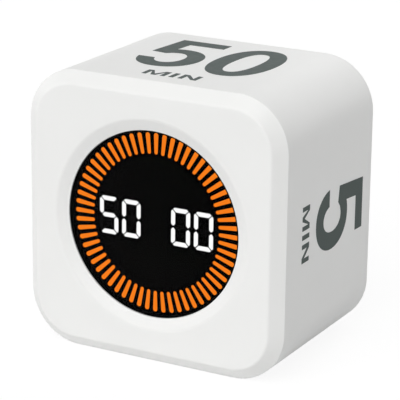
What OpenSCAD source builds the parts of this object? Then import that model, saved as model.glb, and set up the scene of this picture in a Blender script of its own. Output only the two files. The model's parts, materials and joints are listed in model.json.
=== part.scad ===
// Countdown timer block: a bevelled square body with a round ring display on its face.
// Standing the body on one of its four sides picks the time, and the rear face has the keys.
// The pieces are drawn with the body lying on its face: X to the right, Y up the face,
// and Z, called depth here, from the front face (0) to the rear face (body_d).
// stand_up() turns the whole thing onto its base, with the front looking along -Y.

/* [Body] */
// Width of the body across its face
body_w = 62; // [60:1:70]
// Height of the body across its face
body_h = 62; // [60:1:70]
// Depth from the front face to the rear face
body_d = 46; // [42:0.5:60]
// Radius of the four long edges
corner_r = 11.8; // [11.4:0.2:12.4]
// Width of the bevel round the front and rear faces
bevel_w = 2.7; // [1.6:0.1:3.2]
// Depth of that bevel along the sides
bevel_d = 2.4; // [1.6:0.1:2.5]
// Rounding where a face meets its bevel
bevel_round = 1; // [0.4:0.1:1.6]
// Straight land between the bevel and the parting line
rim_land = 0.3; // [0.2:0.05:0.3]
// Thickness of the front and rear plates
plate_t = 2.8; // [2.8:0.1:3.2]
// Wall of the sleeve that makes the four sides
sleeve_wall = 2.2; // [1.8:0.1:2.4]
// Wall of the spigots that enter the sleeve
spigot_t = 1.5; // [1.2:0.1:1.6]
// Length of the spigots behind their plates
spigot_l = 4; // [3:0.5:5]
// Width of the four locating keys inside the sleeve
key_w = 2; // [1.6:0.1:3]
// Height of the locating keys
key_h = 0.8; // [0.5:0.1:1]

/* [Window] */
// Radius of the lens's face
lens_r = 20.5; // [20.3:0.1:20.8]
// Width of the flange that holds the lens behind the face
lens_flange_w = 1; // [0.9:0.05:1.2]
// Thickness of that flange
lens_flange_t = 0.7; // [0.6:0.05:1]
// Width of the dished ring round the lens
dish_w = 2.6; // [1.5:0.1:3.2]
// How deep the lens lies below the face
dish_d = 1.1; // [0.8:0.1:1.6]
// Rounding at the dish's outer edge
dish_round = 1.5; // [0.5:0.5:4]
// Thickness of the adhesive ring
tape_t = 0.1; // [0.1:0.05:0.3]

/* [Ring display] */
// Number of light bars in the ring
bar_count = 60; // [48:1:64]
// Radius at the bars' inner ends
ring_r_in = 15.2; // [15:0.1:15.6]
// Radius at the bars' outer ends
ring_r_out = 19.75; // [18.8:0.05:19.8]
// Width of a bar at its inner end
bar_w_in = 0.7; // [0.6:0.05:0.9]
// Width of a bar at its outer end
bar_w_out = 0.95; // [0.9:0.05:1.25]

/* [Digits] */
// Minutes on the display
minutes_shown = 50; // [0:1:99]
// Seconds on the display
seconds_shown = 0; // [0:1:59]
// Width of a digit
digit_w = 4.6; // [4.4:0.1:5]
// Height of a digit
digit_h = 8.4; // [7.6:0.1:8.8]
// Width of a segment
stroke = 1; // [0.9:0.05:1.2]
// Gap between neighbouring segments
segment_gap = 0.2; // [0.16:0.02:0.3]
// Cut across a digit's outer corners
digit_corner = 0.8; // [0.6:0.05:0.9]
// Spacing of the two digits of a pair
digit_pitch = 5.5; // [5.3:0.05:5.6]
// Distance from the middle to the middle of each pair
pair_x = 8.75; // [8.3:0.05:9]

/* [Light mask] */
// Depth of the mask from its face to the display board
mask_t = 4.6; // [4.2:0.1:6]
// Length of the mask that the bezel's collar guides
mask_guide_l = 1.5; // [1:0.1:2.5]
// Space left behind the light guides for the LEDs
led_room = 1; // [0.8:0.1:1.5]
// Radius of the two pegs that locate the mask on its board
peg_r = 0.6; // [0.5:0.05:0.7]

/* [Boards] */
// Thickness of both circuit boards
board_t = 1.6; // [1:0.1:2]
// Width of display board left outside the heads of its screws
display_margin = 0.1; // [0:0.05:0.3]
// Width of the control board
control_w = 48; // [46:0.5:50]
// Height of the control board
control_h = 50; // [49:0.5:51]
// Distance from the rear plate to the control board
standoff_l = 8; // [7.5:0.1:9]
// Height of the control board's four standoffs above its middle
standoff_y = 10.5; // [9:0.5:12]

/* [Battery] */
// Width of the lithium cell
cell_w = 30; // [20:1:32]
// Length of the lithium cell
cell_l = 38; // [30:1:38]
// Thickness of the lithium cell
cell_t = 10; // [6:0.5:10]
// Thickness of the tray that carries the cell
tray_t = 1.4; // [1.2:0.1:2]
// Space between the display board and the tray
tray_room = 3.4; // [3:0.1:4]
// Height of the rim round the cell
tray_rim_h = 5; // [3:0.5:6]

/* [Keys] */
// Radius of the two push buttons
button_r = 4.2; // [3.5:0.1:4.4]
// Travel of the push buttons
button_travel = 0.5; // [0.3:0.1:0.7]
// Distance from the middle to each push button
button_x = 12.5; // [12:0.1:12.6]
// Gap all round a push button in its hole
button_gap = 0.3; // [0.2:0.05:0.4]
// Travel of the mode knob from end to end
knob_travel = 4; // [3:0.5:4]
// Width of the mode knob's grip
knob_w = 3.6; // [3:0.1:4]
// Height of the mode knob's grip
knob_h = 3; // [2.6:0.1:3.4]
// Height of the mode knob above the middle
knob_y = 14.5; // [14:0.1:15]
// Depth of the finger recess round the mode knob
knob_recess = 1.2; // [0.8:0.1:1.4]

/* [Charging port and buzzer] */
// Depth of the port's centre below the middle
port_y = 17.5; // [17:0.1:18.5]
// Outside width of the receptacle
port_w = 8.94; // [8.94:0.01:9.2]
// Outside height of the receptacle
port_h = 3.26; // [3.2:0.02:3.4]
// Radius of the buzzer
buzzer_r = 4.8; // [4.2:0.1:5]
// Height of the buzzer
buzzer_h = 5; // [4:0.1:5.4]
// Radius of one sound hole
sound_hole_r = 0.6; // [0.4:0.05:0.7]

/* [Screws] */
// Distance of the case posts from the body's sides
post_inset = 8.8; // [8.7:0.05:8.9]
// Radius of the case posts behind the battery tray
post_r = 2.6; // [2.4:0.1:2.8]
// Length of the case screws under the head
case_screw_l = 12; // [8:1:14]
// Length of the small board screws under the head
board_screw_l = 4.6; // [4:0.2:5]

/* [Hidden] */
$fn = 64;

// Overlap of joined shapes, and overrun of cuts, so that no two faces only graze
over = 0.4;
// Clearance of the spigots in the sleeve
shell_fit = 0.15;
// Hairline at both parting lines
seam_gap = 0.03;
// Clearance of the lens in its hole, and of its flange and the mask in their collar
lens_fit = 0.1;
// Gap between the back of the lens and the mask
lens_gap = 0.05;
// Clearance of each light guide in its slot
guide_fit = 0.03;
// Clearance of screw shanks in their pilot holes
screw_fit = 0.05;
// Gap that lets the screws pull the case shut
case_gap = 0.1;
// Gap between a moving flange and the rear plate that stops it
stop_gap = 0.08;
// Clearance of a sliding or pressed piece inside the case
slide_fit = 0.2;

// Depths, counted from the front face
seam_v = bevel_d + rim_land;
lens_seat_v = plate_t + tape_t;
mask_v = lens_seat_v + lens_flange_t + lens_gap;
collar_end = mask_v + mask_guide_l;
board_v = mask_v + mask_t;
board_back = board_v + board_t;
tray_v = board_back + tray_room;
rear_v = body_d - plate_t;
control_back = rear_v - standoff_l;
control_v = control_back - board_t;

// Outline of the spigots and of the sleeve's inside
inside_w = body_w - 2 * sleeve_wall;
inside_h = body_h - 2 * sleeve_wall;
inside_r = corner_r - sleeve_wall;
spigot_w = inside_w - 2 * shell_fit;
spigot_h = inside_h - 2 * shell_fit;
spigot_r = inside_r - shell_fit;

// Window and mask
window_r = lens_r + lens_fit;
dish_r = window_r + dish_w;
lens_edge = 0.15;
lens_flange_r = lens_r + lens_flange_w;
mask_r = lens_flange_r;
window_collar_r = mask_r + lens_fit;
window_collar_wall = 1.5;
peg_circle = (ring_r_out + mask_r) / 2;
peg_angles = [30, 210];
peg_l = 1.2;
guide_t = mask_t - led_room;
bar_r_in = ring_r_in + bar_w_in / 2;
bar_r_out = ring_r_out - bar_w_out / 2;

// Screws: shank radius, head radius, head height
m2_r = 0.95;
m2_head_r = 1.9;
m2_head_h = 1.3;
case_screw_r = 1.25;
case_head_r = 2.2;
case_head_h = 1.6;
boss_r = 2.1;
boss_gap = 0.2;
cross_l = 1.3;
cross_w = 0.5;
cross_d = 0.6;
display_screw_r = window_collar_r + boss_gap + boss_r;
display_r = display_screw_r + m2_head_r + display_margin;

// Case posts and the collars of the rear cover that meet them
post_x = body_w / 2 - post_inset;
post_y = body_h / 2 - post_inset;
post_step = 1;
post_foot_r = post_r + post_step;
collar_l = 2.6;
collar_r = 3.4;
collar_v = rear_v - collar_l;
post_end = collar_v - case_gap;
head_recess = 2.4;
head_seat_v = body_d - head_recess;
pilot_spare = 0.6;
rib_t = 1.2;
rib_h = 3;

// Control board, and its notches round the case posts
standoff_inset = 3.4;
standoff_x = control_w / 2 - standoff_inset;
corner_clear = 1.2;
notch_r = post_r + corner_clear;
notch_reach = 10;

// Chip LEDs
led_w = 0.5;
led_l = 1;
led_t = 0.5;
led_base_t = 0.2;
led_resin_l = 0.7;

// Chips
driver_w = 8.6;
driver_h = 3.9;
driver_t = 1.5;
driver_y = 8;
driver_pins = 7;
pin_pitch = 1.27;
pin_span = 6;
pin_w = 0.4;
pin_t = 0.2;
controller_w = 5;
controller_t = 0.9;
controller_x = -6;
controller_y = 6;
tilt_sensor_w = 2;
charger_w = 3;
charger_h = 1.7;
charger_t = 1.1;
charger_x = 7;
charger_y = -12;

// Battery and its tray
ear_r = 3.9;
cell_tape_t = 0.5;
cell_tape_w = 6;
cell_tape_inset = 2;
cell_v = tray_v + tray_t + cell_tape_t;
cell_mid_v = cell_v + cell_t / 2;
cell_round = 2.2;
cell_fit = 0.3;
tray_rim_t = 1.2;
tray_window_x = 4;
tray_window_y = 8;
tray_window_r = 2;
tray_bay_d = 3;
tray_gate_d = 4;

// Guard circuit, wires and plug of the battery
protection_t = 1.2;
protection_w = 16;
protection_h = 4;
lead_r = 0.5;
lead_x = 1;
lead_bend = 2;
lead_spare = 0.5;
socket_w = 7.6;
socket_h = 4.5;
socket_l = 4.7;
socket_floor = 1;
socket_inset = 0.35;
plug_w = 6;
plug_h = 3.6;
plug_l = 3.6;
plug_depth = 1.2;
latch_w = 2;
latch_t = 0.8;
plug_v = control_v - socket_l + plug_depth - plug_l;
lead_v = min(cell_mid_v, plug_v - lead_bend - lead_spare);
lead_y = cell_l / 2 + protection_t + lead_bend + lead_spare;
socket_y = max(control_h / 2 - socket_inset - socket_h / 2, lead_y);

// Ribbon between the two boards
ribbon_w = 8;
ribbon_t = 0.3;
ribbon_bend = 2;
ribbon_clear = 6.3;
ribbon_straight = 1.5;
ribbon_slack = 1;
ribbon_socket_w = 4;
ribbon_socket_h = 10;
ribbon_socket_t = 1.6;
ribbon_x = ribbon_clear - inside_w / 2;
ribbon_socket_x = ribbon_x + ribbon_bend + ribbon_straight + ribbon_socket_w / 2;

// Tact switches and buttons
tact_w = 6;
tact_base_h = 3.3;
tact_plate_t = 0.3;
tact_top_v = control_back + tact_base_h + tact_plate_t;
tact_bore_r = 1.8;
plunger_r = 1.7;
plunger_spare = 0.9;
plunger_proud = button_travel + plunger_spare;
plunger_sunk = 1;
dome_room = 0.3;
button_flange_w = 1;
button_flange_t = 1;
button_flange_v = rear_v - stop_gap - button_flange_t;
button_stem_r = 1.5;
button_dish = 0.5;
button_rim = 0.6;
guide_wall = 0.9;
guide_l = 2.4;

// Mode switch and knob
switch_w = 12;
switch_h = 5;
switch_t = 5;
switch_base_t = 1.6;
switch_can_t = 0.3;
lever_w = 1.8;
lever_foot_w = 3.4;
lever_foot_h = 3;
lever_foot_t = 1.2;
lever_inset = 1.3;
lever_top_v = rear_v - lever_inset;
lever_gap = 0.1;
knob_rest = knob_travel / 2;
knob_plate_t = 0.8;
knob_plate_h = 5;
knob_plate_lap = 0.6;
knob_plate_r = 1;
knob_plate_v = rear_v - stop_gap - knob_plate_t;
knob_plate_w = 2 * (knob_travel + knob_plate_lap) + knob_w;
knob_socket_w = 4.2;
knob_socket_l = 1.6;
knob_round = 0.5;
knob_slot_r = 0.6;
knob_inset = 0.2;
knob_top_v = body_d - knob_inset;
knob_gap = 0.25;
groove_w = 0.4;
groove_d = 0.4;
groove_pitch = 1;
finger_x = 3;
finger_y = 1.7;
recess_w = knob_travel + knob_w + 2 * finger_x;
recess_h = knob_h + 2 * finger_y;

// Charging port
port_wall = 0.3;
port_gap = 0.2;
port_set_back = 0.4;
port_block_h = 4;
tongue_w = 6.7;
tongue_t = 0.7;
tongue_set_back = 1;
relief_w = 12.4;
relief_h = 6.6;
relief_d = 0.5;

// Buzzer and its sound holes
gasket_t = 0.8;
gasket_wall = 1.1;
buzzer_gap = 0.1;
buzzer_hole_r = 1;
buzzer_hole_d = 1.5;
sound_pitch = 2.1;

// Turns the timer from lying on its face to standing on its base
module stand_up() {
    translate([0, -body_d / 2, body_h / 2]) rotate([90, 0, 0]) mirror([0, 0, 1]) children();
}

// Draws from the rear face forwards, as the mirror image of the front
module from_rear() {
    translate([0, 0, body_d]) mirror([0, 0, 1]) children();
}

// Repeats a piece in the four corners at (x, y)
module at_corners(x, y) {
    for (sx = [-1, 1], sy = [-1, 1]) translate([sx * x, sy * y, 0]) children();
}

// Places a piece at height v on the display board's screw circle
module at_display_screws(v) {
    for (a = [45 : 90 : 315]) rotate(a) translate([display_screw_r, 0, v]) children();
}

module rounded_rect(w, h, r) {
    square([w - 2 * r, h], center = true);
    square([w, h - 2 * r], center = true);
    at_corners(w / 2 - r, h / 2 - r) circle(r);
}

module rounded_box(w, h, r, t) {
    linear_extrude(t) rounded_rect(w, h, r);
}

module box(w, h, t) {
    translate([-w / 2, -h / 2, 0]) cube([w, h, t]);
}

module stadium(w, h) {
    square([w - h, h], center = true);
    for (s = [-1, 1]) translate([s * (w - h) / 2, 0]) circle(d = h);
}

module ring(r_out, r_in, t) {
    difference() {
        cylinder(r = r_out, h = t);
        translate([0, 0, -over]) cylinder(r = r_in, h = t + 2 * over);
    }
}

// What a round of radius r takes off the corner p between the edge directions a and b
module excess_at(p, a, b, r) {
    half = acos(a * b) / 2;
    centre = p + (a + b) / norm(a + b) * r / sin(half);
    end_a = p + a * r / tan(half);
    end_b = p + b * r / tan(half);
    difference() {
        polygon([
            centre, end_a, 2 * end_a - centre, 2 * p - centre, 2 * end_b - centre, end_b,
        ]);
        translate(centre) circle(r);
    }
}

// A slab of thickness t whose edge follows the child profile, drawn outwards from
// the axis of a corner
module rounded_slab(w, h, r, t) {
    at_corners(w / 2 - r, h / 2 - r) rotate_extrude() children();
    slab_bar(w - 2 * r, h - 2 * r, t) children();
    rotate(90) slab_bar(h - 2 * r, w - 2 * r, t) children();
}

module slab_bar(length, span, t) {
    rotate([90, 0, 90]) linear_extrude(length, center = true) {
        translate([-span / 2, 0]) square([span, t]);
        for (side = [0, 1]) mirror([side, 0]) translate([span / 2, 0]) children();
    }
}

// Half section of the bevelled rim
module rim_profile() {
    slope = [bevel_w, bevel_d] / norm([bevel_w, bevel_d]);
    difference() {
        polygon([
            [0, 0], [corner_r - bevel_w, 0], [corner_r, bevel_d], [corner_r, seam_v],
            [0, seam_v],
        ]);
        excess_at([corner_r - bevel_w, 0], [-1, 0], slope, bevel_round);
    }
}

// The plate, bevelled rim and spigot that the bezel and the rear cover share
module end_shell() {
    rounded_slab(body_w, body_h, corner_r, seam_v) rim_profile();
    difference() {
        translate([0, 0, seam_v - over])
            rounded_box(spigot_w, spigot_h, spigot_r, plate_t + spigot_l - seam_v + over);
        translate([0, 0, plate_t])
            rounded_box(spigot_w - 2 * spigot_t, spigot_h - 2 * spigot_t,
                spigot_r - spigot_t, spigot_l + over);
        translate([0, 0, seam_v])
            sleeve_keys(key_w + 2 * slide_fit, key_h + slide_fit, spigot_l + plate_t);
    }
}

// The four keys on the middle lines of the sleeve's inside, w wide and h high
module sleeve_keys(w, h, length) {
    for (s = [-1, 1]) {
        translate([s * (inside_w - h + over) / 2, 0, 0]) box(h + over, w, length);
        translate([0, s * (inside_h - h + over) / 2, 0]) box(w, h + over, length);
    }
}

// A pan head screw with a cross recess. Its head lies below depth 0 and its shank above
module screw(shank_r, length, head_r, head_h) {
    difference() {
        union() {
            translate([0, 0, -head_h]) cylinder(r = head_r, h = head_h, $fn = 32);
            translate([0, 0, -over]) cylinder(r = shank_r, h = length + over, $fn = 24);
        }
        for (a = [0, 90]) rotate(a) translate([0, 0, -head_h - over])
            box(cross_l * head_r, cross_w, cross_d + over);
    }
}

// ---- Case ----

module front_bezel() {
    color("white") stand_up() difference() {
        union() {
            end_shell();
            translate([0, 0, plate_t - over])
                cylinder(r = window_collar_r + window_collar_wall, h = collar_end - plate_t + over);
            at_display_screws(plate_t - over)
                cylinder(r = boss_r, h = board_v - plate_t + over, $fn = 32);
            at_corners(post_x, post_y) translate([0, 0, plate_t - over]) {
                cylinder(r = post_foot_r, h = tray_v - plate_t + over, $fn = 48);
                cylinder(r = post_r, h = post_end - plate_t + over, $fn = 48);
            }
            bezel_ribs();
        }
        rotate_extrude() window_profile();
        at_display_screws(board_v - board_screw_l)
            cylinder(r = m2_r + screw_fit, h = board_screw_l + over, $fn = 24);
        at_corners(post_x, post_y)
            translate([0, 0, head_seat_v - case_screw_l - pilot_spare])
                cylinder(r = case_screw_r + screw_fit, h = case_screw_l, $fn = 24);
    }
}

// Ribs from the window's collar to the case posts
module bezel_ribs() {
    start = window_collar_r + over;
    for (sx = [-1, 1], sy = [-1, 1]) {
        translate([0, 0, plate_t - over])
            rotate(atan2(sy * post_y, sx * post_x))
                translate([start, -rib_t / 2, 0])
                    cube([norm([post_x, post_y]) - start, rib_t, rib_h + over]);
    }
}

// Everything that the dish, the window and the collar's inside take out of the bezel
module window_profile() {
    slope = [window_r - dish_r, dish_d] / norm([window_r - dish_r, dish_d]);
    polygon([
        [0, -over], [dish_r, -over], [dish_r, 0], [window_r, dish_d], [window_r, plate_t],
        [window_collar_r, plate_t], [window_collar_r, collar_end + over],
        [0, collar_end + over],
    ]);
    excess_at([dish_r, 0], [1, 0], slope, dish_round);
}

module sleeve() {
    length = body_d - 2 * seam_v - 2 * seam_gap;
    color("white") stand_up() translate([0, 0, seam_v + seam_gap]) {
        difference() {
            rounded_box(body_w, body_h, corner_r, length);
            translate([0, 0, -over])
                rounded_box(inside_w, inside_h, inside_r, length + 2 * over);
        }
        sleeve_keys(key_w, key_h, length);
    }
}

module rear_cover() {
    color("white") stand_up() difference() {
        union() {
            from_rear() end_shell();
            at_corners(post_x, post_y) translate([0, 0, collar_v])
                cylinder(r = collar_r, h = collar_l + over, $fn = 48);
            at_corners(standoff_x, standoff_y) translate([0, 0, control_back])
                cylinder(r = boss_r, h = standoff_l + over, $fn = 32);
            for (s = [-1, 1]) translate([s * button_x, 0, rear_v - guide_l])
                cylinder(r = button_guide_r() + guide_wall, h = guide_l + over);
            translate([0, 0, control_back + buzzer_h + gasket_t])
                cylinder(r = buzzer_r, h = standoff_l - buzzer_h - gasket_t + over);
            knob_rails();
        }
        button_openings();
        buzzer_openings();
        knob_openings();
        port_openings();
        at_corners(post_x, post_y) {
            translate([0, 0, head_seat_v])
                cylinder(r = case_head_r + slide_fit, h = head_recess + over, $fn = 48);
            translate([0, 0, collar_v - over])
                cylinder(r = case_screw_r + slide_fit, h = collar_l + plate_t, $fn = 24);
        }
        at_corners(standoff_x, standoff_y) translate([0, 0, control_back - over])
            cylinder(r = m2_r + screw_fit, h = board_screw_l + over, $fn = 24);
    }
}

function button_guide_r() = button_r + button_flange_w + slide_fit;

module button_openings() {
    for (s = [-1, 1]) translate([s * button_x, 0, 0]) {
        translate([0, 0, rear_v - over])
            cylinder(r = button_r + button_gap, h = plate_t + 2 * over);
        translate([0, 0, rear_v - guide_l - over])
            cylinder(r = button_guide_r(), h = guide_l + over);
    }
}

// The chamber inside the buzzer's collar, and seven sound holes through the plate
module buzzer_openings() {
    chamber_v = control_back + buzzer_h + gasket_t - over;
    translate([0, 0, chamber_v])
        cylinder(r = buzzer_r - gasket_wall, h = rear_v - chamber_v);
    translate([0, 0, rear_v - over]) {
        cylinder(r = sound_hole_r, h = plate_t + 2 * over, $fn = 24);
        for (a = [0 : 60 : 300]) rotate(a) translate([sound_pitch, 0, 0])
            cylinder(r = sound_hole_r, h = plate_t + 2 * over, $fn = 24);
    }
}

// Two rails that guide the knob's plate
module knob_rails() {
    length = knob_plate_w + knob_travel;
    for (s = [-1, 1])
        translate([0, knob_y + s * (knob_plate_h / 2 + slide_fit + guide_wall / 2), 0])
            translate([0, 0, knob_plate_v - slide_fit])
                box(length, guide_wall, rear_v - knob_plate_v + slide_fit + over);
}

module knob_openings() {
    translate([0, knob_y, body_d - knob_recess])
        linear_extrude(knob_recess + over) stadium(recess_w, recess_h);
    translate([0, knob_y, rear_v - over])
        rounded_box(knob_w + knob_travel + 2 * knob_gap, knob_h + 2 * knob_gap,
            knob_slot_r, plate_t + 2 * over);
}

module port_openings() {
    translate([0, -port_y, rear_v - over]) linear_extrude(plate_t + 2 * over)
        stadium(port_w + 2 * port_gap, port_h + 2 * port_gap);
    translate([0, -port_y, body_d - relief_d])
        linear_extrude(relief_d + over) stadium(relief_w, relief_h);
}

module case_screws() {
    color("silver") stand_up() at_corners(post_x, post_y)
        translate([0, 0, head_seat_v]) mirror([0, 0, 1])
            screw(case_screw_r, case_screw_l, case_head_r, case_head_h);
}

// ---- Window, light mask and light guides ----

// The lens fills the window from behind, and its flange is stuck to the back of the plate
module lens() {
    back = lens_seat_v + lens_flange_t;
    color("dimgray", 0.4) stand_up() rotate_extrude()
        polygon([
            [0, dish_d], [lens_r - lens_edge, dish_d], [lens_r, dish_d + lens_edge],
            [lens_r, lens_seat_v], [lens_flange_r, lens_seat_v], [lens_flange_r, back], [0, back],
        ]);
}

module lens_tape() {
    color("black") stand_up() translate([0, 0, plate_t])
        ring(lens_flange_r - lens_fit, window_r + lens_fit, tape_t);
}

// One bar of the ring, pointing up, tapered, with round ends, and grown all round
module bar_outline(grow = 0) {
    r_in = bar_w_in / 2 + grow;
    r_out = bar_w_out / 2 + grow;
    lean = asin((r_out - r_in) / (bar_r_out - bar_r_in));
    translate([0, bar_r_in]) circle(r_in, $fn = 24);
    translate([0, bar_r_out]) circle(r_out, $fn = 24);
    polygon([
        for (s = [-1, 1]) [s * r_in * cos(lean), bar_r_in - r_in * sin(lean)],
        for (s = [1, -1]) [s * r_out * cos(lean), bar_r_out - r_out * sin(lean)],
    ]);
}

module ring_of_bars() {
    for (i = [0 : bar_count - 1]) rotate(-i * 360 / bar_count) children();
}

// Outline of a digit's top segment, set back by inset from its edges all round
function top_segment(inset) =
    let (
        cut = digit_corner + inset * sqrt(2),
        mitre = (segment_gap / 2 + inset) * sqrt(2),
        left = -digit_w / 2,
        top = digit_h / 2,
        side = [
            [left + cut - inset, top - inset],
            [left + (cut + mitre) / 2, top - (cut - mitre) / 2],
            [left + stroke - inset + mitre, top - stroke + inset],
        ]
    )
    concat(side, [for (i = [2 : -1 : 0]) [-side[i][0], side[i][1]]]);

// Outline of a digit's upper left segment
function side_segment(inset) =
    let (
        cut = digit_corner + inset * sqrt(2),
        mitre = (segment_gap / 2 + inset) * sqrt(2),
        left = -digit_w / 2,
        top = digit_h / 2
    )
    [
        [left + inset, top - cut + inset],
        [left + (cut - mitre) / 2, top - (cut + mitre) / 2],
        [left + stroke - inset, top - stroke + inset - mitre],
        [left + stroke - inset, stroke / 2 - inset + mitre],
        [left + stroke / 2, mitre],
        [left + inset, stroke / 2 - inset + mitre],
    ];

// Outline of a digit's middle segment
function middle_segment(inset) =
    let (
        mitre = (segment_gap / 2 + inset) * sqrt(2),
        tip = digit_w / 2 - stroke / 2 - mitre,
        flat = stroke / 2 - inset
    )
    [
        [-tip, 0], [flat - tip, flat], [tip - flat, flat],
        [tip, 0], [tip - flat, -flat], [flat - tip, -flat],
    ];

// Each segment's letter, with which way it is flipped
SEGMENTS = [
    ["A", 1, 1], ["B", -1, 1], ["C", -1, -1], ["D", 1, -1], ["E", 1, -1], ["F", 1, 1], ["G", 1, 1],
];

// The segments that each figure from 0 to 9 lights
FIGURES = [
    "ABCDEF", "BC", "ABGED", "ABGCD", "FGBC", "AFGCD", "AFGECD", "ABC", "ABCDEFG", "ABCDFG",
];

function has_letter(word, letter) = len(search(letter, word)) > 0;
function digit_x(i) = (i < 2 ? -pair_x : pair_x) + (i % 2 - 0.5) * digit_pitch;
function shown(i) =
    [floor(minutes_shown / 10), minutes_shown % 10, floor(seconds_shown / 10), seconds_shown % 10][i];

module segment_outline(letter, inset) {
    if (has_letter("AD", letter)) polygon(top_segment(inset));
    if (has_letter("BCEF", letter)) polygon(side_segment(inset));
    if (letter == "G") polygon(middle_segment(inset));
}

// The segments of all four digits whose lit state is on the list
module segments(states, inset) {
    for (i = [0 : 3], s = SEGMENTS)
        if (len(search(has_letter(FIGURES[shown(i)], s[0]) ? 1 : 0, states)) > 0)
            translate([digit_x(i), 0]) mirror([s[1] < 0 ? 1 : 0, 0]) mirror([0, s[2] < 0 ? 1 : 0])
                segment_outline(s[0], inset);
}

module light_mask() {
    color([0.04, 0.04, 0.045]) stand_up() difference() {
        union() {
            translate([0, 0, mask_v]) cylinder(r = mask_r, h = mask_t);
            for (a = peg_angles) rotate(a) translate([peg_circle, 0, board_v - over])
                cylinder(r = peg_r, h = peg_l + over, $fn = 24);
        }
        translate([0, 0, mask_v - over]) {
            ring_of_bars() linear_extrude(mask_t + 2 * over) bar_outline();
            linear_extrude(mask_t + 2 * over) segments([0, 1], 0);
        }
    }
}

module ring_bars() {
    color([1, 0.5, 0.06]) stand_up() translate([0, 0, mask_v])
        ring_of_bars() linear_extrude(guide_t) bar_outline(-guide_fit);
}

module lit_segments() {
    color("white") stand_up() translate([0, 0, mask_v])
        linear_extrude(guide_t) segments([1], guide_fit);
}

module unlit_segments() {
    color([0.1, 0.1, 0.1]) stand_up() translate([0, 0, mask_v])
        linear_extrude(guide_t) segments([0], guide_fit);
}

// ---- Display board ----

module display_board() {
    color("darkgreen") stand_up() translate([0, 0, board_v]) difference() {
        cylinder(r = display_r, h = board_t, $fn = 96);
        at_display_screws(-over) cylinder(r = m2_r + slide_fit, h = board_t + 2 * over, $fn = 24);
        for (a = peg_angles) rotate(a) translate([peg_circle, 0, -over])
            cylinder(r = peg_r + screw_fit, h = board_t + 2 * over, $fn = 24);
    }
}

// A chip LED lying along Y, its back on depth 0 and its light going towards the front
module chip_led() {
    mirror([0, 0, 1]) {
        box(led_w, led_l, led_base_t);
        box(led_w, led_resin_l, led_t);
    }
}

module ring_leds() {
    color("orange") stand_up() translate([0, 0, board_v])
        ring_of_bars() translate([0, (bar_r_in + bar_r_out) / 2, 0]) chip_led();
}

module digit_leds() {
    across = digit_w / 2 - stroke / 2;
    up = digit_h / 2 - stroke / 2;
    color("ivory") stand_up() for (i = [0 : 3]) translate([digit_x(i), 0, board_v]) {
        for (y = [-up, 0, up]) translate([0, y, 0]) rotate(90) chip_led();
        at_corners(across, up / 2) chip_led();
    }
}

module driver_chips() {
    color("black") stand_up() for (s = [-1, 1]) translate([0, s * driver_y, board_back]) {
        box(driver_w, driver_h, driver_t);
        for (i = [0 : driver_pins - 1])
            translate([(i - (driver_pins - 1) / 2) * pin_pitch, 0, 0]) box(pin_w, pin_span, pin_t);
    }
}

module display_screws() {
    color("silver") stand_up() at_display_screws(board_back) mirror([0, 0, 1])
        screw(m2_r, board_screw_l, m2_head_r, m2_head_h);
}

// ---- Battery ----

module battery_tray() {
    rim_w = cell_w + 2 * cell_fit;
    rim_l = cell_l + 2 * cell_fit;
    ears_w = 2 * (post_x + ear_r);
    ears_h = 2 * (post_y + ear_r);
    notch_x = ribbon_x + ribbon_bend - ears_w / 2;
    color("lightgray") stand_up() translate([0, 0, tray_v]) difference() {
        union() {
            rounded_box(ears_w, ears_h, ear_r, tray_t);
            rounded_box(rim_w + 2 * tray_rim_t, rim_l + 2 * tray_rim_t, cell_round,
                tray_t + tray_rim_h);
            at_corners(post_x, post_y) cylinder(r = ear_r, h = tray_t + tray_rim_h / 2, $fn = 48);
        }
        translate([0, 0, tray_t]) box(rim_w, rim_l, tray_rim_h + over);
        translate([0, 0, -over]) {
            at_corners(post_x, post_y)
                cylinder(r = post_r + shell_fit, h = tray_rim_h + tray_t + 2 * over, $fn = 48);
            rounded_box(cell_w - 2 * tray_window_x, cell_l - 2 * tray_window_y, tray_window_r,
                tray_t + 2 * over);
            translate([notch_x, 0, 0])
                box(ears_w, ribbon_w + 2 * ribbon_slack, tray_t + 2 * over);
            for (s = [-1, 1]) translate([0, s * ears_h / 2, 0])
                rounded_box(2 * post_x - 4 * ear_r, 2 * tray_bay_d, tray_window_r, tray_t + 2 * over);
        }
        translate([0, cell_l / 2, tray_t])
            box(cell_w - 2 * tray_window_x, tray_gate_d, tray_rim_h + over);
    }
}

module battery_tape() {
    middle = (cell_l - tray_window_y) / 2;
    color("black") stand_up() for (s = [-1, 1]) translate([0, s * middle, tray_v + tray_t])
        box(cell_w - 2 * cell_tape_inset, cell_tape_w, cell_tape_t);
}

module battery_cell() {
    color("silver") stand_up() translate([0, cell_l / 2, cell_mid_v]) rotate([90, 0, 0])
        rounded_box(cell_w, cell_t, cell_round, cell_l);
}

// The small board on the cell's end that guards it against overcharging
module protection_board() {
    color("darkgreen") stand_up()
        translate([0, (cell_l + protection_t) / 2, lead_v - protection_h / 2])
            box(protection_w, protection_t, protection_h);
}

// Two wires that leave the protection board, turn and run to the plug
module battery_leads() {
    start = cell_l / 2 + protection_t;
    bend_v = lead_v + lead_bend;
    color("red") stand_up() for (s = [-1, 1]) translate([s * lead_x, 0, 0]) {
        translate([0, start, lead_v]) rotate([-90, 0, 0])
            cylinder(r = lead_r, h = socket_y - lead_bend - start, $fn = 16);
        translate([0, socket_y - lead_bend, bend_v]) rotate([0, 90, 0])
            rotate_extrude(angle = 90, $fn = 48)
                translate([lead_bend, 0]) circle(lead_r, $fn = 16);
        translate([0, socket_y, bend_v]) cylinder(r = lead_r, h = plug_v - bend_v, $fn = 16);
    }
}

module battery_plug() {
    color("white") stand_up() translate([0, socket_y, plug_v]) {
        box(plug_w, plug_h, plug_l);
        translate([0, plug_h / 2, 0]) box(latch_w, latch_t, plug_l - plug_depth);
    }
}

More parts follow.
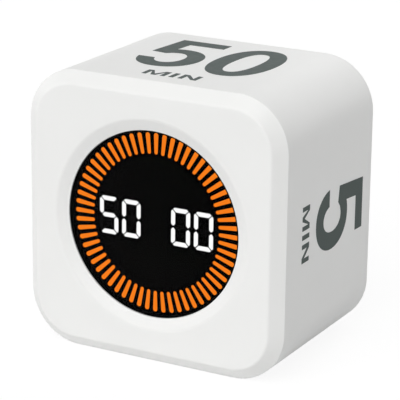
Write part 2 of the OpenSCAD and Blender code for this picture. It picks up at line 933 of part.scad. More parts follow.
module battery_socket() {
    color("white") stand_up() translate([0, socket_y, control_v - socket_l]) difference() {
        box(socket_w, socket_h, socket_l);
        translate([0, 0, -over])
            box(plug_w + 2 * slide_fit, plug_h + 2 * slide_fit, socket_l - socket_floor + over);
    }
}

// ---- Control board ----

module control_board() {
    color("darkgreen") stand_up() translate([0, 0, control_v]) difference() {
        box(control_w, control_h, board_t);
        at_corners(post_x + notch_reach, post_y + notch_reach) translate([0, 0, -over])
            rounded_box(2 * (notch_reach + notch_r), 2 * (notch_reach + notch_r), notch_r,
                board_t + 2 * over);
        at_corners(standoff_x, standoff_y) translate([0, 0, -over])
            cylinder(r = m2_r + slide_fit, h = board_t + 2 * over, $fn = 24);
    }
}

// The controller, the tilt sensor and the charger chip, on the board's front side
module control_chips() {
    color("black") stand_up() translate([0, 0, control_v]) mirror([0, 0, 1]) {
        translate([controller_x, controller_y, 0]) box(controller_w, controller_w, controller_t);
        box(tilt_sensor_w, tilt_sensor_w, controller_t);
        translate([charger_x, charger_y, 0]) box(charger_w, charger_h, charger_t);
    }
}

module control_screws() {
    color("silver") stand_up() at_corners(standoff_x, standoff_y) translate([0, 0, control_v])
        screw(m2_r, board_screw_l, m2_head_r, m2_head_h);
}

// The flat cable from the display board to the control board, seen from above as a C
module ribbon_cable() {
    low = board_back + ribbon_socket_t / 2;
    high = control_v - ribbon_socket_t / 2;
    socket_side = ribbon_socket_x - ribbon_socket_w / 2;
    bend_x = ribbon_x + ribbon_bend;
    color("white") stand_up() rotate([90, 0, 0]) linear_extrude(ribbon_w, center = true) {
        for (v = [low, high]) translate([bend_x, v - ribbon_t / 2])
            square([socket_side - bend_x, ribbon_t]);
        translate([ribbon_x - ribbon_t / 2, low + ribbon_bend])
            square([ribbon_t, high - low - 2 * ribbon_bend]);
        for (end = [[low, 1], [high, -1]]) translate([bend_x, end[0] + end[1] * ribbon_bend])
            intersection() {
                difference() {
                    circle(ribbon_bend + ribbon_t / 2);
                    circle(ribbon_bend - ribbon_t / 2);
                }
                mirror([1, 0]) mirror([0, end[1] > 0 ? 1 : 0]) square(2 * ribbon_bend);
            }
    }
}

module ribbon_sockets() {
    color("ivory") stand_up() for (v = [board_back, control_v - ribbon_socket_t])
        translate([ribbon_socket_x, 0, v]) box(ribbon_socket_w, ribbon_socket_h, ribbon_socket_t);
}

// ---- Charging port ----

module usb_shell() {
    mouth_v = body_d - port_set_back;
    inner_w = port_w - 2 * port_wall;
    inner_h = port_h - 2 * port_wall;
    color("silver") stand_up() translate([0, -port_y, control_back])
        linear_extrude(mouth_v - control_back) difference() {
            stadium(port_w, port_h);
            stadium(inner_w, inner_h);
        }
}

// The insulator: a block that fills the shell's foot, and the tongue that carries the contacts
module usb_tongue() {
    gap = screw_fit;
    top = body_d - port_set_back - tongue_set_back - control_back;
    color("black") stand_up() translate([0, -port_y, control_back]) {
        linear_extrude(port_block_h)
            stadium(port_w - 2 * port_wall - 2 * gap, port_h - 2 * port_wall - 2 * gap);
        box(tongue_w, tongue_t, top);
    }
}

// ---- Mode switch and knob ----

module mode_switch_base() {
    color("saddlebrown") stand_up() translate([0, knob_y, control_back])
        box(switch_w - 2 * switch_can_t, switch_h - 2 * switch_can_t, switch_base_t);
}

module mode_switch_can() {
    color("silver") stand_up() translate([0, knob_y, control_back]) difference() {
        box(switch_w, switch_h, switch_t);
        translate([0, 0, -over])
            box(switch_w - 2 * switch_can_t, switch_h - 2 * switch_can_t,
                switch_t - switch_can_t + over);
        translate([0, 0, switch_t - over - switch_can_t])
            box(lever_w + knob_travel + 2 * slide_fit, lever_w + 2 * slide_fit,
                switch_can_t + 2 * over);
    }
}

// The lever: a foot that slides in the can, and a stem that the knob is pushed onto
module mode_lever() {
    foot_v = control_back + switch_base_t + slide_fit;
    color("black") stand_up() translate([knob_rest, knob_y, foot_v]) {
        box(lever_foot_w, lever_foot_h, lever_foot_t);
        box(lever_w, lever_w, lever_top_v - foot_v);
    }
}

module mode_knob() {
    socket_depth = lever_top_v - knob_plate_v + knob_socket_l + lever_gap;
    color("gray") stand_up() translate([knob_rest, knob_y, 0]) difference() {
        union() {
            translate([0, 0, knob_plate_v]) {
                rounded_box(knob_plate_w, knob_plate_h, knob_plate_r, knob_plate_t);
                rounded_box(knob_w, knob_h, knob_round, knob_top_v - knob_plate_v);
            }
            translate([0, 0, knob_plate_v - knob_socket_l])
                box(knob_socket_w, knob_socket_w, knob_socket_l + over);
        }
        translate([0, 0, knob_plate_v - knob_socket_l - over])
            box(lever_w + 2 * screw_fit, lever_w + 2 * screw_fit, socket_depth + over);
        for (i = [-1, 0, 1]) translate([i * groove_pitch, 0, knob_top_v - groove_d])
            box(groove_w, knob_h + over, groove_d + over);
    }
}

// ---- Push buttons ----

module tact_bases() {
    bore_depth = plunger_sunk + button_travel + dome_room;
    color("black") stand_up() for (s = [-1, 1]) translate([s * button_x, 0, control_back])
        difference() {
            box(tact_w, tact_w, tact_base_h);
            translate([0, 0, tact_base_h + tact_plate_t - bore_depth])
                cylinder(r = tact_bore_r, h = bore_depth, $fn = 32);
        }
}

module tact_plates() {
    color("silver") stand_up() for (s = [-1, 1])
        translate([s * button_x, 0, tact_top_v - tact_plate_t]) difference() {
            box(tact_w, tact_w, tact_plate_t);
            translate([0, 0, -over])
                cylinder(r = tact_bore_r, h = tact_plate_t + 2 * over, $fn = 32);
        }
}

module plunger(side) {
    stand_up() translate([side * button_x, 0, tact_top_v - plunger_sunk])
        cylinder(r = plunger_r, h = plunger_sunk + plunger_proud, $fn = 32);
}

module minute_plunger() {
    color("dimgray") plunger(-1);
}

module second_plunger() {
    color("dimgray") plunger(1);
}

// A button cap: stem, flange that holds it in, and a face with a finger dish
module button(side) {
    stem_v = tact_top_v + plunger_proud;
    dish_ball = (pow(button_r - button_rim, 2) + pow(button_dish, 2)) / (2 * button_dish);
    stand_up() translate([side * button_x, 0, 0]) difference() {
        union() {
            translate([0, 0, stem_v])
                cylinder(r = button_stem_r, h = button_flange_v - stem_v + over, $fn = 32);
            translate([0, 0, button_flange_v])
                cylinder(r = button_r + button_flange_w, h = button_flange_t);
            translate([0, 0, button_flange_v]) cylinder(r = button_r, h = body_d - button_flange_v);
        }
        translate([0, 0, body_d - button_dish + dish_ball]) sphere(dish_ball, $fn = 96);
    }
}

module minute_button() {
    color("gray") button(-1);
}

module second_button() {
    color("gray") button(1);
}

// ---- Buzzer ----

module buzzer() {
    color("black") stand_up() translate([0, 0, control_back]) difference() {
        cylinder(r = buzzer_r - buzzer_gap, h = buzzer_h);
        translate([0, 0, buzzer_h - buzzer_hole_d])
            cylinder(r = buzzer_hole_r, h = buzzer_hole_d + over, $fn = 24);
    }
}

module buzzer_gasket() {
    color("darkslategray") stand_up() translate([0, 0, control_back + buzzer_h])
        ring(buzzer_r - buzzer_gap, buzzer_r - gasket_wall, gasket_t);
}

front_bezel();
sleeve();
rear_cover();
lens();
lens_tape();
light_mask();
ring_bars();
lit_segments();
unlit_segments();
display_board();
ring_leds();
digit_leds();
driver_chips();
display_screws();
battery_tray();
battery_tape();
battery_cell();
protection_board();
battery_leads();
battery_plug();
battery_socket();
ribbon_cable();
ribbon_sockets();
control_board();
control_chips();
control_screws();
usb_shell();
usb_tongue();
mode_switch_base();
mode_switch_can();
mode_lever();
mode_knob();
tact_bases();
tact_plates();
minute_plunger();
minute_button();
second_plunger();
second_button();
buzzer();
buzzer_gasket();
case_screws();
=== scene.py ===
"""Looks of the countdown timer block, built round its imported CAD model.

Metres, +Z up. The display looks along -Y, and the keys look along +Y.
Every shape but the print comes from the CAD model. This script adds the print on the four sides
and on the back of the lens, the finishes, the studio and the camera.
"""
import json
import math

import bmesh
import bpy
from mathutils import Matrix, Vector


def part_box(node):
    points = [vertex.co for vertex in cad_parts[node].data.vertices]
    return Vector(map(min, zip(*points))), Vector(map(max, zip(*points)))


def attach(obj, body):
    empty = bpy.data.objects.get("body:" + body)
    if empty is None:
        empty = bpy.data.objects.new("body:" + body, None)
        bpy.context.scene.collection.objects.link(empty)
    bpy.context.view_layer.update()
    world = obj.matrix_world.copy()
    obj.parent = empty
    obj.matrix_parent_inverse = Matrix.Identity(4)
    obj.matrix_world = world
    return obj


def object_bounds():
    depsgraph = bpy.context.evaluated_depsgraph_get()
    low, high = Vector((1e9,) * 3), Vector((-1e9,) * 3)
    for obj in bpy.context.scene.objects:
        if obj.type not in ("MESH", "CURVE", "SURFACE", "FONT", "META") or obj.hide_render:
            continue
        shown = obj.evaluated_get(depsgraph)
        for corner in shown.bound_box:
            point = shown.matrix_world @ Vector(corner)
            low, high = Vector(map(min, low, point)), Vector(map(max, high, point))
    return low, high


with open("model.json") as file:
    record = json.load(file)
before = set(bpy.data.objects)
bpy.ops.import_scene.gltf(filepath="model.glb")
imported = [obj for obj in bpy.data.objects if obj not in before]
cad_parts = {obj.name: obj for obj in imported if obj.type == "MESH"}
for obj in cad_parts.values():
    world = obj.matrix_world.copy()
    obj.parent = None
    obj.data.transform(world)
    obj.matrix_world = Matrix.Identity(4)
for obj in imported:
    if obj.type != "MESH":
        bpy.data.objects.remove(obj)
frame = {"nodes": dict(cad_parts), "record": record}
cad_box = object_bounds()

MM = 0.001
HALF_W = (cad_box[1].x - cad_box[0].x) / 2
HALF_D = (cad_box[1].y - cad_box[0].y) / 2
HALF_H = (cad_box[1].z - cad_box[0].z) / 2
MIDDLE_Z = (cad_box[0].z + cad_box[1].z) / 2
LENS_LOW, LENS_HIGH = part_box("lens")
LENS_CENTRE = (LENS_LOW + LENS_HIGH) / 2
scene = bpy.context.scene


# ---- Node trees ----

SOCKETS = {
    "base_color": "Base Color", "metallic": "Metallic", "roughness": "Roughness", "ior": "IOR",
    "normal": "Normal", "specular": "Specular IOR Level", "specular_tint": "Specular Tint",
    "transmission": "Transmission Weight", "emission_color": "Emission Color",
    "emission_strength": "Emission Strength", "anisotropic": "Anisotropic",
}
# Most of a noise texture's values lie between these
NOISE_RANGE = (0.3, 0.7)


class Nodes:
    """A node tree, with a short call that adds a node and sets or joins its inputs."""

    def __init__(self, tree):
        self.nodes = tree.nodes
        self.links = tree.links

    def add(self, kind, inputs=None, **settings):
        node = self.nodes.new(kind)
        for key, value in settings.items():
            setattr(node, key, value)
        for key, value in (inputs or {}).items():
            if isinstance(value, bpy.types.NodeSocket):
                self.links.new(value, node.inputs[key])
            else:
                node.inputs[key].default_value = value
        return node


class Finish(Nodes):
    """A new material with its shader, and the textures that the finishes share."""

    def __init__(self, name):
        self.material = bpy.data.materials.new(name)
        self.material.use_nodes = True
        super().__init__(self.material.node_tree)
        self.shader = self.nodes["Principled BSDF"]
        self.place = self.add("ShaderNodeTexCoord").outputs["Object"]

    def set(self, **values):
        """Sets the shader's own sockets: roughness=..., specular=... and so on."""
        for key, value in values.items():
            self.shader.inputs[SOCKETS[key]].default_value = value

    def drive(self, key, socket):
        """Joins a texture to one of the shader's sockets."""
        self.links.new(socket, self.shader.inputs[SOCKETS[key]])

    def noise(self, size, detail=2.0, stretch=(1, 1, 1)):
        """Noise from 0 to 1 whose lumps are about size metres across."""
        mapped = self.add("ShaderNodeMapping", {"Vector": self.place, "Scale": stretch})
        noise = self.add("ShaderNodeTexNoise", {
            "Vector": mapped.outputs["Vector"], "Scale": 1 / size, "Detail": detail,
        })
        return noise.outputs["Fac"]

    def between(self, factor, low, high):
        """A number that runs from low to high as the noise runs over its usual range."""
        ramp = self.add("ShaderNodeMapRange", {
            "Value": factor, "From Min": NOISE_RANGE[0], "From Max": NOISE_RANGE[1],
            "To Min": low, "To Max": high,
        })
        return ramp.outputs["Result"]

    def blend(self, factor, dark, light):
        """A colour between dark and light."""
        mix = self.add("ShaderNodeMix", {"Factor": factor}, data_type="RGBA")
        mix.inputs["A"].default_value = (*dark, 1)
        mix.inputs["B"].default_value = (*light, 1)
        return mix.outputs["Result"]

    def bump(self, height, depth):
        """Raises the surface by depth metres where the height is 1."""
        node = self.add("ShaderNodeBump", {"Height": height, "Distance": depth})
        self.drive("normal", node.outputs["Normal"])


def shade(color, share):
    """The colour, darker with a share below 1 and lighter with one above it."""
    return tuple(min(1.0, share * channel) for channel in color)


# ---- Finishes ----
# Each function's parameters name the sizes of its texture, in metres, and its lowest and highest
# values.

def moulded(name, color, roughness, grain=0.12 * MM, depth=0.004 * MM, specular=0.5,
            cloud=14 * MM, clouding=0.015, unevenness=0.05):
    """Injection moulded plastic: a fine spark-eroded texture over faint, broad clouding."""
    finish = Finish(name)
    finish.set(specular=specular)
    broad = finish.noise(cloud)
    fine = finish.noise(grain, detail=3.0)
    darker, lighter = shade(color, 1 - clouding), shade(color, 1 + clouding)
    finish.drive("base_color", finish.blend(broad, darker, lighter))
    finish.drive("roughness", finish.between(fine, roughness - unevenness, roughness + unevenness))
    finish.bump(fine, depth)
    return finish


def ink(name, color, patch=1.6 * MM, pit=0.2 * MM, depth=0.003 * MM, tones=(0.9, 1.1),
        roughness=(0.42, 0.6), specular=0.03):
    """Pad printed ink: matt, a little uneven where the pad lifted off."""
    finish = Finish(name)
    finish.set(specular=specular)
    patches = finish.noise(patch, detail=4.0)
    finish.drive("base_color", finish.blend(patches, shade(color, tones[0]), shade(color, tones[1])))
    finish.drive("roughness", finish.between(patches, *roughness))
    finish.bump(finish.noise(pit), depth)
    return finish


def smoked_window(name, tint, centre, clear_radius, edge=0.03 * MM, ripple=9 * MM, haze=0.02):
    """Polished, smoked acrylic with a low-glare face, and with its border and rim painted black."""
    finish = Finish(name)
    finish.set(transmission=1.0, ior=1.49, specular=0.0, specular_tint=(0, 0, 0, 1))
    from_axis = finish.add("ShaderNodeMapping", {
        "Vector": finish.place, "Location": (-centre.x, 0, -centre.z), "Scale": (1, 0, 1),
    })
    radius = finish.add("ShaderNodeVectorMath", {0: from_axis.outputs["Vector"]}, operation="LENGTH")
    clear = finish.add("ShaderNodeMapRange", {
        "Value": radius.outputs["Value"], "From Min": clear_radius, "From Max": clear_radius + edge,
        "To Min": 1.0, "To Max": 0.0,
    }).outputs["Result"]
    finish.drive("transmission", clear)
    finish.drive("base_color", finish.blend(clear, (0, 0, 0), (tint, tint, tint)))
    finish.drive("roughness", finish.between(finish.noise(ripple), 0.0, haze))
    return finish


def light_guide(name, color, window_tint, unlit=0.5, grain=0.2 * MM):
    """A diffusing light guide, lit from behind so that it shows its colour through the window."""
    finish = moulded(name, shade(color, unlit), roughness=0.5, grain=grain)
    finish.set(emission_color=(*color, 1), emission_strength=1 / window_tint)
    return finish


def circuit_board(name, color, pitch=6 * MM, depth=0.02 * MM, copper=1.9, spot=2 * MM,
                  roughness=(0.22, 0.36)):
    """Solder mask over copper: broad tracks show as a lighter, slightly raised pattern."""
    finish = Finish(name)
    tracks = finish.add("ShaderNodeTexBrick", {
        "Vector": finish.place, "Scale": 1 / pitch, "Mortar Size": 0.05, "Mortar Smooth": 0.2,
        "Color1": (0, 0, 0, 1), "Color2": (0.25, 0.25, 0.25, 1), "Mortar": (1, 1, 1, 1),
    }).outputs["Color"]
    finish.drive("base_color", finish.blend(tracks, color, shade(color, copper)))
    finish.drive("roughness", finish.between(finish.noise(spot), *roughness))
    finish.bump(tracks, depth)
    return finish


def plated_metal(name, color, roughness, line=0.5 * MM, stretch=(1, 1, 12), depth=0.004 * MM,
                 tones=(0.88, 1.06), shinier=0.08, duller=0.1):
    """Plated sheet or wire, with the fine draw lines of its making."""
    finish = Finish(name)
    finish.set(metallic=1.0, anisotropic=0.4)
    lines = finish.noise(line, detail=5.0, stretch=stretch)
    finish.drive("base_color", finish.blend(lines, shade(color, tones[0]), shade(color, tones[1])))
    finish.drive("roughness", finish.between(lines, roughness - shinier, roughness + duller))
    finish.bump(lines, depth)
    return finish


def foil(name, color, crease=3.5 * MM, stretch=(1, 1, 2.5), depth=0.15 * MM, tones=(0.85, 1.1),
         roughness=(0.26, 0.44)):
    """Laminated foil of a pouch cell, softly creased."""
    finish = Finish(name)
    finish.set(metallic=1.0)
    creases = finish.noise(crease, detail=6.0, stretch=stretch)
    finish.drive("base_color", finish.blend(creases, shade(color, tones[0]), shade(color, tones[1])))
    finish.drive("roughness", finish.between(creases, *roughness))
    finish.bump(creases, depth)
    return finish


def foam(name, color, cell=0.35 * MM, depth=0.05 * MM, tones=(0.6, 1.6)):
    """Closed-cell foam: small dark cells between paler walls."""
    finish = Finish(name)
    finish.set(roughness=0.9)
    cells = finish.add("ShaderNodeTexVoronoi", {"Vector": finish.place, "Scale": 1 / cell})
    walls = cells.outputs["Distance"]
    finish.drive("base_color", finish.blend(walls, shade(color, tones[0]), shade(color, tones[1])))
    finish.bump(walls, depth)
    return finish


# Colours, in linear light
WHITE = (0.86, 0.862, 0.85)
INK_GREY = (0.099, 0.12, 0.114)
ORANGE = (0.9, 0.205, 0.009)
FIGURE_WHITE = (0.98, 0.98, 0.98)
WINDOW_TINT = 0.15
# The lens lies about X = 0 and is clear inside its flange and a narrow black border
LENS_FLANGE = 1.0 * MM
LENS_BORDER = 0.2 * MM
CLEAR_RADIUS = LENS_HIGH.x - LENS_FLANGE - LENS_BORDER

# The finish of each material slot
FINISHES = {
    "white_shell": moulded("white_shell", WHITE, 0.42),
    "window": smoked_window("window", WINDOW_TINT, LENS_CENTRE, CLEAR_RADIUS),
    "black_mask": moulded("black_mask", (0.003, 0.003, 0.0033), 0.7, specular=0.05),
    "orange_light": light_guide("orange_light", ORANGE, WINDOW_TINT),
    "white_light": light_guide("white_light", FIGURE_WHITE, WINDOW_TINT),
    "dark_light": moulded("dark_light", (0.01, 0.01, 0.01), 0.6),
    "board_green": circuit_board("board_green", (0.02, 0.14, 0.06)),
    "led_package": moulded("led_package", (0.9, 0.85, 0.7), 0.25, depth=0.001 * MM),
    "chip_black": moulded("chip_black", (0.02, 0.02, 0.022), 0.5, grain=0.08 * MM),
    "screw_steel": plated_metal("screw_steel", (0.5, 0.5, 0.515), 0.28),
    "tin_plate": plated_metal("tin_plate", (0.72, 0.72, 0.72), 0.24),
    "tray_grey": moulded("tray_grey", (0.45, 0.46, 0.47), 0.5),
    "foam_black": foam("foam_black", (0.02, 0.02, 0.02)),
    "foil_silver": foil("foil_silver", (0.7, 0.71, 0.73)),
    "wire_red": moulded("wire_red", (0.6, 0.02, 0.02), 0.4, grain=0.3 * MM),
    "connector_cream": moulded("connector_cream", (0.85, 0.82, 0.7), 0.45),
    "ribbon_white": moulded("ribbon_white", (0.85, 0.86, 0.88), 0.3, grain=0.6 * MM),
    "switch_brown": moulded("switch_brown", (0.2, 0.09, 0.04), 0.55),
    "key_grey": moulded("key_grey", (0.3, 0.31, 0.32), 0.46, grain=0.1 * MM),
}
PRINT_INK = ink("printed_ink", INK_GREY)

for part in frame["record"]["subparts"]:
    node = frame["nodes"][part["node"]]
    node.data.materials.clear()
    node.data.materials.append(FINISHES[part["material_slot"]].material)


# ---- Outlines of the print ----
# Millimetres, upright, about the middle of the width, with the foot at 0. Each function gives an
# outline and the hole in it, or None.

FIGURE_H = 23.2
FIGURE_HALF_W = 6.8
FIGURE_BAR = 3.5
HOLE_HALF_W = 2.85
LETTER_H = 3.35
LETTER_STEM = 1.0
# How square a curve is: 2 gives an ellipse, and more a squarer curve
TRUE_ELLIPSE = 2
BOWL = 2.1
ZERO_OUTSIDE = 2.2
ZERO_INSIDE = 2.3


def arc(centre, radii, start, end, steps, fullness):
    """Points along a superellipse from one angle to another, in degrees."""
    points = []
    for i in range(steps + 1):
        angle = math.radians(start + (end - start) * i / steps)
        c, s = math.cos(angle), math.sin(angle)
        points.append((
            centre[0] + radii[0] * math.copysign(abs(c) ** (2 / fullness), c),
            centre[1] + radii[1] * math.copysign(abs(s) ** (2 / fullness), s),
        ))
    return points


def figure_0():
    """A tall ring that reaches a little past the other figures."""
    centre = (0, FIGURE_H / 2)
    overshoot, end_stroke = 0.2, 3.3
    outer_radii = (FIGURE_HALF_W, FIGURE_H / 2 + overshoot)
    inner_radii = (HOLE_HALF_W, FIGURE_H / 2 - end_stroke)
    outside = arc(centre, outer_radii, 0, 360, steps=64, fullness=ZERO_OUTSIDE)
    inside = arc(centre, inner_radii, 0, 360, steps=64, fullness=ZERO_INSIDE)
    return outside[:-1], inside[:-1]


def figure_1():
    """A stem with a slanting flag at its top left."""
    left, right = -1.4, 2.7
    return [
        (-4.8, 16.0), (-1.3, FIGURE_H), (right, FIGURE_H), (right, 0), (left, 0), (left, 17.2),
        (-3.3, 13.2),
    ], None


def figure_2():
    """A bowl that runs down to the left into a flat foot."""
    centre = (0, 15.6)
    outer_radii, inner_radii = (6.7, FIGURE_H - centre[1]), (HOLE_HALF_W, 4.2)
    outside = arc(centre, outer_radii, 170, -32, steps=30, fullness=BOWL)
    inside = arc(centre, inner_radii, -32, 170, steps=30, fullness=BOWL)
    foot = [
        (-1.3, FIGURE_BAR), (FIGURE_HALF_W, FIGURE_BAR), (FIGURE_HALF_W, 0), (-FIGURE_HALF_W, 0),
        (-FIGURE_HALF_W, 3.0),
    ]
    return outside + foot + inside, None


def figure_5():
    """A flat top and a short stem over a bowl."""
    outer_centre, outer_radii = (-0.3, 7.7), (FIGURE_HALF_W, 7.7)
    inner_centre, inner_radii = (-0.4, 7.85), (3.0, 4.25)
    outside = arc(outer_centre, outer_radii, 110, -171, steps=44, fullness=BOWL)
    inside = arc(inner_centre, inner_radii, -161, 100, steps=36, fullness=BOWL)
    bar_foot = FIGURE_H - FIGURE_BAR
    stem = [
        (-2.1, 11.7), (-3.15, 10.75), (-6.7, 11.3), (-5.7, FIGURE_H), (5.7, FIGURE_H),
        (5.6, bar_foot), (-2.35, bar_foot),
    ]
    return stem + outside + inside, None


def letter_m():
    """Two stems joined by a V, drawn on the right and mirrored to the left."""
    half, shoulder, notch, slant, point = 2.6, 1.2, 0.65, 2.15, 0.5
    right = [
        (half - shoulder, LETTER_H), (half, LETTER_H), (half, 0), (half - LETTER_STEM, 0),
        (half - LETTER_STEM, LETTER_H - notch), (point, 0),
    ]
    left = [(-x, y) for x, y in right]
    return right + left[::-1] + [(0, LETTER_H - slant - point / 2)], None


def letter_i():
    """A plain stem."""
    half = 0.53
    return [(-half, 0), (half, 0), (half, LETTER_H), (-half, LETTER_H)], None


def letter_n():
    """Two stems and a slanting stroke. Half a turn brings the letter onto itself."""
    half, shoulder, notch = 2.05, 1.15, 2.3
    side = [
        (-half, 0), (-half, LETTER_H), (-half + shoulder, LETTER_H),
        (half - LETTER_STEM, LETTER_H - notch), (half - LETTER_STEM, LETTER_H),
    ]
    return side + [(-x, LETTER_H - y) for x, y in side], None


# ---- Print on the four sides ----

GLYPHS = {
    "0": figure_0, "1": figure_1, "2": figure_2, "5": figure_5,
    "M": letter_m, "I": letter_i, "N": letter_n,
}
# The sizes of the print are in millimetres. The letters' middles, and the pitch of the figures:
LETTER_PLACES = {"M": -3.9, "I": 0.17, "N": 3.75}
FIGURE_PITCH = 15.2
# For one figure and for two: the print's scale, and how far the figures' and the letters' feet
# lie behind the front face
LAYOUTS = {1: (1.0, 16.2, 9.65), 2: (1.055, 13.9, 6.9)}
# The ink's lower and upper face, over the surface that it lies on
INK_LEVELS = (-0.02, 0.03)
# The print on the top isn't quite central
TOP_PRINT_SHIFT = 0.7 * MM


def add_slab(mesh, outline, hole, levels, scale=1.0, middle=0.0, foot=0.0):
    """Adds one closed slab of ink to the mesh, between two levels."""
    def ring(points, level):
        return [mesh.verts.new((scale * (x + middle), scale * y + foot, level)) for x, y in points]

    outer = [ring(outline, level) for level in levels]
    inner = [ring(hole, level) for level in levels] if hole else None
    for low, high in [outer, inner] if hole else [outer]:
        for i in range(len(low)):
            j = (i + 1) % len(low)
            mesh.faces.new((low[i], low[j], high[j], high[i]))
    for side in (0, 1):
        if hole:
            for i in range(len(outline)):
                j = (i + 1) % len(outline)
                mesh.faces.new((outer[side][i], outer[side][j], inner[side][j], inner[side][i]))
        else:
            mesh.faces.new(outer[side])


def add_print(name, mesh, right, up, start, finish):
    """Turns a flat print, drawn in millimetres, into a piece of the housing at the start point."""
    bmesh.ops.recalc_face_normals(mesh, faces=mesh.faces)
    data = bpy.data.meshes.new(name)
    mesh.to_mesh(data)
    mesh.free()
    turn = Matrix((right, up, right.cross(up))).transposed().to_4x4()
    data.transform(Matrix.Translation(start) @ turn @ Matrix.Scale(MM, 4))
    data.materials.append(finish.material)
    piece = bpy.data.objects.new(name, data)
    scene.collection.objects.link(piece)
    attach(piece, "housing")
    return piece


def print_side(name, figures, right, distance, shift=0.0):
    """Prints figures and the unit on one side, with their feet towards the display."""
    mesh = bmesh.new()
    scale, figure_foot, letter_foot = LAYOUTS[len(figures)]
    for i, figure in enumerate(figures):
        middle = (i - (len(figures) - 1) / 2) * FIGURE_PITCH
        add_slab(mesh, *GLYPHS[figure](), INK_LEVELS, scale, middle, figure_foot)
    for letter, middle in LETTER_PLACES.items():
        add_slab(mesh, *GLYPHS[letter](), INK_LEVELS, scale, middle, letter_foot)
    right, up = Vector(right), Vector((0, 1, 0))
    start = Vector((0, cad_box[0].y, MIDDLE_Z)) + right.cross(up) * distance + right * shift
    add_print(name, mesh, right, up, start, PRINT_INK)


print_side("print_50_minutes", "50", (1, 0, 0), HALF_H, TOP_PRINT_SHIFT)
print_side("print_5_minutes", "5", (0, 0, -1), HALF_W)
print_side("print_25_minutes", "25", (-1, 0, 0), HALF_H)
print_side("print_10_minutes", "10", (0, 0, 1), HALF_W)


# ---- Translucent bars on the back of the lens ----
# Each lies over one light guide and is a little wider, all round. Sizes are in millimetres.

BAR_COUNT = 60
# The light guide's two round ends: how far from the middle of the ring the end's circle lies, and
# that circle's radius
GUIDE_INNER = (15.55, 0.32)
GUIDE_OUTER = (19.275, 0.445)
BAR_SPREAD = 0.065
END_STEPS = 12
# How far in front of the lens's back the bars' two faces lie: below 0 is behind it
BAR_LEVELS = (-0.03, -0.005)


def light_bar(turn):
    """A tapered bar with round ends, turned clockwise from 12 o'clock."""
    inner, outer = GUIDE_INNER[1] + BAR_SPREAD, GUIDE_OUTER[1] + BAR_SPREAD
    points = arc((0, GUIDE_INNER[0]), (inner, inner), 180, 360, END_STEPS, TRUE_ELLIPSE)
    points += arc((0, GUIDE_OUTER[0]), (outer, outer), 0, 180, END_STEPS, TRUE_ELLIPSE)
    c, s = math.cos(turn), math.sin(turn)
    return [(c * x + s * y, c * y - s * x) for x, y in points]


def print_bars():
    """Prints the ring of bars on the back of the lens."""
    mesh = bmesh.new()
    for i in range(BAR_COUNT):
        add_slab(mesh, light_bar(i * math.tau / BAR_COUNT), None, BAR_LEVELS)
    right, up = Vector((1, 0, 0)), Vector((0, 0, 1))
    lens_back = Vector((LENS_CENTRE.x, LENS_HIGH.y, LENS_CENTRE.z))
    bars = add_print("print_light_bars", mesh, right, up, lens_back, FINISHES["orange_light"])


print_bars()


# ---- Studio ----
# The sky and the floor light the object plainly, and look white to the camera and in reflections.
# Only a patch of painted shade on the floor darkens the block's lower edges.

SKY = 0.318
FLOOR_RADIUS = 4.0
FLOOR_SIDES = 96
FLOOR_CLEAR = 0.05 * MM
FLOOR_ALBEDO = 0.85
# The floor as it is seen: a paper that takes the shadow, and a glow that makes the rest of its white
FLOOR_SHADED = 0.12
FLOOR_GLOW = 0.91
# Painted shade: under and beside the block the floor is nearly black to the light that it returns,
# so that the block's rounded long edges darken there, standing in for a contact shadow.
# This patch is as wide as the block and ends short of its front and rear.
PAINTED_SHADE_ALBEDO = 0.02
PAINTED_SHADE_INSET = 8 * MM
PAINTED_SHADE_FADE = 6 * MM
# How wide each lamp looks from the object, in degrees
SOFTBOX_WIDTH = 50


def seen_directly(tree):
    """1 for camera, glossy and transmission rays, and 0 for the rays that light the object."""
    rays = tree.add("ShaderNodeLightPath").outputs
    direct = rays["Is Camera Ray"]
    for kind in ("Is Glossy Ray", "Is Transmission Ray"):
        most = tree.add("ShaderNodeMath", {0: direct, 1: rays[kind]}, operation="MAXIMUM")
        direct = most.outputs["Value"]
    return direct


def light_sky():
    """A white sky, dim as a light and bright where it is seen."""
    world = bpy.data.worlds.new("studio")
    world.use_nodes = True
    scene.world = world
    tree = Nodes(world.node_tree)
    strength = tree.add("ShaderNodeMapRange", {
        "Value": seen_directly(tree), "To Min": SKY, "To Max": 1.0,
    })
    background = tree.nodes["Background"]
    background.inputs["Color"].default_value = (1, 1, 1, 1)
    tree.links.new(strength.outputs["Result"], background.inputs["Strength"])


def beyond_painted_shade(tree):
    """How far a point of the floor lies outside the patch of painted shade, along X or Y, in metres.
    """
    position = tree.add("ShaderNodeNewGeometry").outputs["Position"]
    from_middle = tree.add("ShaderNodeVectorMath", {0: position}, operation="ABSOLUTE")
    beyond = tree.add("ShaderNodeVectorMath", {
        0: from_middle.outputs["Vector"], 1: (HALF_W, HALF_D - PAINTED_SHADE_INSET, 0),
    }, operation="SUBTRACT")
    axes = tree.add("ShaderNodeSeparateXYZ", {"Vector": beyond.outputs["Vector"]}).outputs
    most = tree.add("ShaderNodeMath", {0: axes["X"], 1: axes["Y"]}, operation="MAXIMUM")
    return most.outputs["Value"]


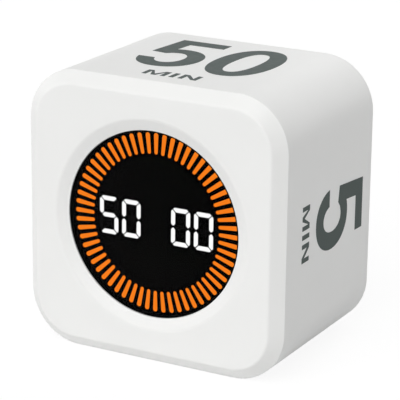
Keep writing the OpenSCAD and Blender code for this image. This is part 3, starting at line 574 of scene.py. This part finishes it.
def floor_paper():
    """White paper, painted nearly black as the object sees it near the block, as painted shade."""
    paper = bpy.data.materials.new("floor_paper")
    paper.use_nodes = True
    tree = Nodes(paper.node_tree)
    tree.nodes.remove(tree.nodes["Principled BSDF"])
    # Painted shade: the floor's colour for the light it returns, near black by the block and pale
    # paper elsewhere
    bounce_with_painted_shade = tree.add("ShaderNodeMapRange", {
        "Value": beyond_painted_shade(tree), "From Max": PAINTED_SHADE_FADE,
        "To Min": PAINTED_SHADE_ALBEDO, "To Max": FLOOR_ALBEDO,
    })
    unseen = tree.add("ShaderNodeBsdfDiffuse", {"Color": bounce_with_painted_shade.outputs["Result"]})
    shadowed = tree.add("ShaderNodeBsdfDiffuse", {
        "Color": (FLOOR_SHADED, FLOOR_SHADED, FLOOR_SHADED, 1),
    })
    glow = tree.add("ShaderNodeEmission", {"Strength": FLOOR_GLOW})
    seen = tree.add("ShaderNodeAddShader", {0: shadowed.outputs["BSDF"], 1: glow.outputs["Emission"]})
    choice = tree.add("ShaderNodeMixShader", {
        "Fac": seen_directly(tree), 1: unseen.outputs["BSDF"], 2: seen.outputs["Shader"],
    })
    tree.links.new(choice.outputs["Shader"], tree.nodes["Material Output"].inputs["Surface"])
    return paper


def lay_floor():
    """A broad disc just under the block."""
    disc = bmesh.new()
    bmesh.ops.create_circle(disc, cap_ends=True, radius=FLOOR_RADIUS, segments=FLOOR_SIDES)
    data = bpy.data.meshes.new("floor")
    disc.to_mesh(data)
    disc.free()
    data.materials.append(floor_paper())
    floor = bpy.data.objects.new("floor", data)
    floor.location.z = -FLOOR_CLEAR
    scene.collection.objects.link(floor)


def softbox(name, direction, strength):
    """A far, broad lamp that shines from the given direction."""
    lamp = bpy.data.lights.new(name, "SUN")
    lamp.energy = strength
    lamp.angle = math.radians(SOFTBOX_WIDTH)
    holder = bpy.data.objects.new(name, lamp)
    holder.rotation_mode = "QUATERNION"
    holder.rotation_quaternion = Vector(direction).to_track_quat("Z", "Y")
    scene.collection.objects.link(holder)


light_sky()
lay_floor()
softbox("key", (0, -0.7, 0.75), 1.65)
softbox("fill", (0, -1, 0.3), 0.29)
softbox("left", (-1, -0.25, 0.1), 0.5)
softbox("rear", (0, 1, 0.08), 1.2)


# ---- Camera ----

AZIMUTH, ELEVATION, ROLL = (math.radians(angle) for angle in (28.63, 17.36, 0.68))
DISTANCE = 463.8 * MM
# The point that the camera looks at: left of the middle, behind the front face, above the floor
AIM = Vector((-4.34 * MM, cad_box[0].y + 30.0 * MM, 28.13 * MM))
# The focal length as a number of the picture's pixels, and the picture's width
FOCAL_PIXELS = 2072.8
FRAME_PIXELS = 400
SENSOR_MM = 36
CLIP_START = 10 * MM


def place_camera():
    """Looks at AIM from a distance, turned about Z, raised and rolled."""
    back = Vector((
        math.sin(AZIMUTH) * math.cos(ELEVATION), -math.cos(AZIMUTH) * math.cos(ELEVATION),
        math.sin(ELEVATION),
    ))
    level = Vector((0, 0, 1)).cross(back).normalized()
    rise = back.cross(level)
    across = level * math.cos(ROLL) + rise * math.sin(ROLL)
    upward = rise * math.cos(ROLL) - level * math.sin(ROLL)
    data = bpy.data.cameras.new("camera")
    data.sensor_width = SENSOR_MM
    data.lens = FOCAL_PIXELS / FRAME_PIXELS * SENSOR_MM
    data.clip_start = CLIP_START
    camera = bpy.data.objects.new("camera", data)
    turn = Matrix((across, upward, back)).transposed().to_4x4()
    camera.matrix_world = Matrix.Translation(AIM + back * DISTANCE) @ turn
    scene.collection.objects.link(camera)
    scene.camera = camera


place_camera()
scene.view_settings.view_transform = "Standard"
